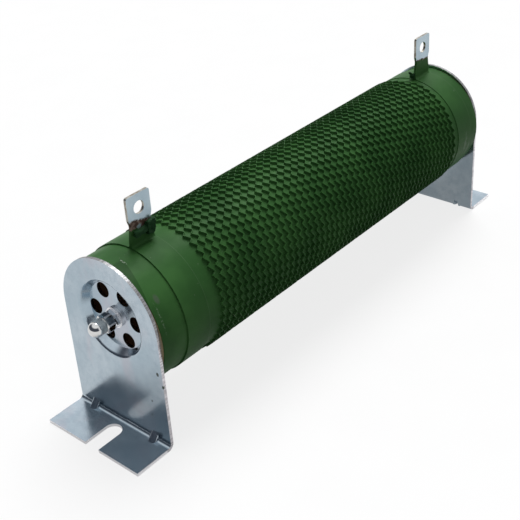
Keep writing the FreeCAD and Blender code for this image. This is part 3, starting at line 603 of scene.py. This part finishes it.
def zinc_plate(name, specks):
    """Clouded zinc, with painted shade on the arch's cut edge and a painted reflection on the foot's, and
    specks of enamel.
    """
    material, tree, shader, position = new_material(name)
    side_edge, arch_edge, foot_edge = sheared_edge(tree, position)
    sheared = work_out(tree, "MAXIMUM", side_edge, foot_edge)
    clouds = noise_from(tree, position, 26.0, 4.0, 0.6)
    mottle = noise_from(tree, position, 210.0, 4.0, 0.65)
    stain = noise_from(tree, position, 44.0, 3.0, 0.55, (1, 1.4, 0.7))
    base = blend_colours(tree, ramp_from(tree, clouds, 0.3, 0.7),
                         linear(164, 180, 190), linear(188, 199, 207))
    mottled = blend_colours(tree, ramp_from(tree, mottle, 0.35, 0.7, 0.0, 0.5),
                            base, linear(150, 166, 178))
    stained = blend_colours(tree, ramp_from(tree, stain, 0.52, 0.7, 0.0, 0.35),
                            mottled, linear(188, 176, 184))
    ticks = noise_from(tree, position, 1700.0, 2.0, 0.6, (0.1, 1, 1))
    cut = blend_colours(tree, ramp_from(tree, ticks, 0.4, 0.62),
                        linear(172, 170, 173), linear(222, 219, 223))
    # Painted shade: the arch's cut edge is the cut colour darkened.
    painted_shade_cut = blend_colours(tree, 1.0, cut, (0.42, 0.43, 0.42, 1), "MULTIPLY")
    # Painted reflection: the foot's cut edge is near white, as where it mirrors the pale floor.
    painted_reflection_cut = blend_colours(tree, ticks, linear(232, 231, 234), linear(253, 252, 253))
    edged = blend_colours(tree, foot_edge, blend_colours(tree, side_edge, stained, cut), painted_reflection_cut)
    bare = blend_colours(tree, arch_edge, edged, painted_shade_cut)
    painted = 0.0
    for place, radius in specks:
        speck = spot(tree, position, place, radius, 0.7, (1, 1.3, 0.9))
        painted = work_out(tree, "MAXIMUM", painted, speck)
    tree.links.new(blend_colours(tree, painted, bare, linear(30, 58, 32)), shader.inputs["Base Color"])
    tree.links.new(work_out(tree, "SUBTRACT", 1.0, painted), shader.inputs["Metallic"])
    polish = ramp_from(tree, clouds, 0.25, 0.75, 0.13, 0.26)
    tree.links.new(work_out(tree, "MAXIMUM", polish, work_out(tree, "MULTIPLY", sheared, 0.4)),
                   shader.inputs["Roughness"])
    grain = noise_from(tree, position, 1500.0, 2.0, 0.6)
    add_bump(tree, shader, grain, 0.00002, 0.35)
    return material


PLATE_FACE = -0.1335
LEFT_SPECKS = (
    ((PLATE_FACE, -0.0273, 0.0414), 1.1 * MM),
    ((PLATE_FACE, -0.0298, 0.0354), 0.9 * MM),
    ((PLATE_FACE, -0.0213, 0.0240), 0.6 * MM),
    ((PLATE_FACE, -0.0201, 0.0156), 0.6 * MM),
)
assign("left_bracket", zinc_plate("left_zinc_plate", LEFT_SPECKS))
assign("right_bracket", zinc_plate("right_zinc_plate", ()))


# The through rod and its fasteners. A plated M5 rod passes through the tube and holds the two
# brackets against its ends, with a flat washer, a thin jam nut and a polished domed cap nut at
# each end, and a mica ring between tube and bracket.
ROD_HEIGHT = (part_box("tie_rod")[0][2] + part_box("tie_rod")[1][2]) / 2


def plated(name, colour, roughness_low, roughness_high, highlight_radius):
    """Plated steel, dulled by handling, with a painted highlight on the edges outside a radius about the
    rod.
    """
    material, tree, shader, position = new_material(name)
    handling = noise_from(tree, position, 420.0, 3.0, 0.6)
    worn = blend_colours(tree, 1.0, colour, (0.9, 0.91, 0.92, 1), "MULTIPLY")
    handled = blend_colours(tree, ramp_from(tree, handling, 0.35, 0.7), colour, worn)
    # Painted highlight: near-white colour and a rougher gloss outside a radius about the rod, where the
    # nut's bevelled corners catch the light.
    pale_mark = ramp_from(tree, radius_about(tree, position, ROD_HEIGHT),
                       highlight_radius, highlight_radius + 0.15 * MM)
    tree.links.new(blend_colours(tree, pale_mark, handled, linear(240, 240, 242)), shader.inputs["Base Color"])
    shader.inputs["Metallic"].default_value = 1.0
    gloss = ramp_from(tree, handling, 0.3, 0.7, roughness_low, roughness_high)
    tree.links.new(work_out(tree, "MAXIMUM", gloss, work_out(tree, "MULTIPLY", pale_mark, 0.45)),
                   shader.inputs["Roughness"])
    return material


nut_plating = plated("nut_plating", linear(214, 218, 222), 0.1, 0.15, 4.3 * MM)
cap_plating = plated("cap_plating", linear(218, 218, 216), 0.05, 0.08, 4.3 * MM)
rod_plating = plated("rod_plating", linear(150, 154, 158), 0.3, 0.4, 2.45 * MM)
for end in ("left", "right"):
    assign(f"{end}_flat_washer", nut_plating)
    assign(f"{end}_jam_nut", nut_plating)
    assign(f"{end}_cap_nut", cap_plating)
assign("tie_rod", rod_plating)


def pressed_mica():
    """Flakes of mica pressed with a binder, in mixed browns."""
    material, tree, shader, position = new_material("pressed_mica")
    flakes = noise_from(tree, position, 700.0, 2.0, 0.7)
    tree.links.new(blend_colours(tree, flakes, linear(120, 104, 74), linear(176, 160, 122)),
                   shader.inputs["Base Color"])
    tree.links.new(ramp_from(tree, flakes, 0.3, 0.7, 0.3, 0.6), shader.inputs["Roughness"])
    return material


mica = pressed_mica()
for end in ("left", "right"):
    assign(f"{end}_mica_ring", mica)


# The studio. The resistor stands on a plain pale floor under one broad lamp overhead, in a soft
# white surround that is dark in front for the metal to mirror. The camera looks down on its left
# end.
LAMP_COMES_FROM = (0.5, 0.2, 1.0)
LAMP_SPREAD = 35
LAMP_STRENGTH = 2.4


def floor_sheet():
    """Pale floor that looks nearly white to the camera and keeps the resistor's shadow."""
    deselect_all()
    bpy.ops.mesh.primitive_plane_add(size=8.0, location=(0, 0, 0))
    sheet = bpy.context.active_object
    sheet.name = "studio_floor"
    material, tree, shader, position = new_material("studio_floor")
    grain = noise_from(tree, position, 30.0, 2.0, 0.5)
    seen = blend_colours(tree, grain, (0.18, 0.18, 0.18, 1), (0.2, 0.2, 0.2, 1))
    rays = tree.nodes.new("ShaderNodeLightPath")
    reflected = blend_colours(tree, rays.outputs["Is Glossy Ray"], (0.3, 0.3, 0.3, 1), (0.6, 0.6, 0.6, 1))
    tree.links.new(blend_colours(tree, rays.outputs["Is Camera Ray"], reflected, seen),
                   shader.inputs["Base Color"])
    lift = work_out(tree, "MULTIPLY", rays.outputs["Is Glossy Ray"], 0.32)
    shader.inputs["Emission Color"].default_value = (1, 1, 1, 1)
    shown = work_out(tree, "MULTIPLY", rays.outputs["Is Camera Ray"], 0.8)
    tree.links.new(work_out(tree, "MAXIMUM", lift, shown), shader.inputs["Emission Strength"])
    shader.inputs["Roughness"].default_value = 1.0
    shader.inputs["Specular IOR Level"].default_value = 0.0
    sheet.data.materials.append(material)


def studio_world():
    """White to the camera, and a soft studio with a darker front for everything else."""
    world = bpy.data.worlds.new("studio")
    world.use_nodes = True
    bpy.context.scene.world = world
    tree = world.node_tree
    background = tree.nodes["Background"]
    rays = tree.nodes.new("ShaderNodeLightPath")
    direction = tree.nodes.new("ShaderNodeTexCoord").outputs["Generated"]
    split = tree.nodes.new("ShaderNodeSeparateXYZ")
    tree.links.new(direction, split.inputs["Vector"])
    overhead = ramp_from(tree, split.outputs["Z"], -0.1, 0.8)
    fill = blend_colours(tree, overhead, (0.10, 0.10, 0.10, 1), (0.42, 0.42, 0.43, 1))
    behind = ramp_from(tree, split.outputs["X"], -0.25, 0.15)
    lit = work_out(tree, "MAXIMUM", behind, ramp_from(tree, split.outputs["Z"], 0.56, 0.8))
    mirrored = blend_colours(tree, lit, (0.07, 0.08, 0.10, 1), (0.95, 0.96, 0.98, 1))
    studio = blend_colours(tree, rays.outputs["Is Glossy Ray"], fill, mirrored)
    tree.links.new(blend_colours(tree, rays.outputs["Is Camera Ray"], studio, (1, 1, 1, 1)),
                   background.inputs["Color"])
    background.inputs["Strength"].default_value = 1.0


def soft_lamp(name, comes_from, spread, strength):
    """Broad light from one side, as a large softbox far away gives it."""
    lamp = bpy.data.lights.new(name, "SUN")
    lamp.angle = math.radians(spread)
    lamp.energy = strength
    holder = bpy.data.objects.new(name, lamp)
    bpy.context.collection.objects.link(holder)
    holder.location = comes_from
    holder.rotation_euler = Vector(comes_from).to_track_quat("Z", "Y").to_euler()


floor_sheet()
studio_world()
soft_lamp("overhead_lamp", LAMP_COMES_FROM, LAMP_SPREAD, LAMP_STRENGTH)

CAMERA_PLACE = (-0.35647, -0.29033, 0.30684)
CAMERA_TURN = (60.0827, 4.2237, -48.6840)
FOCAL_LENGTH = 68.96
SENSOR_WIDTH = 36.0
SIDE_SHIFT = 0.0604
UP_SHIFT = -0.0581

camera_data = bpy.data.cameras.new("camera")
camera_data.sensor_width = SENSOR_WIDTH
camera_data.lens = FOCAL_LENGTH
camera_data.shift_x = SIDE_SHIFT
camera_data.shift_y = UP_SHIFT
camera = bpy.data.objects.new("camera", camera_data)
bpy.context.collection.objects.link(camera)
camera.location = CAMERA_PLACE
camera.rotation_euler = [math.radians(angle) for angle in CAMERA_TURN]
bpy.context.scene.camera = camera
bpy.context.scene.view_settings.view_transform = "Standard"
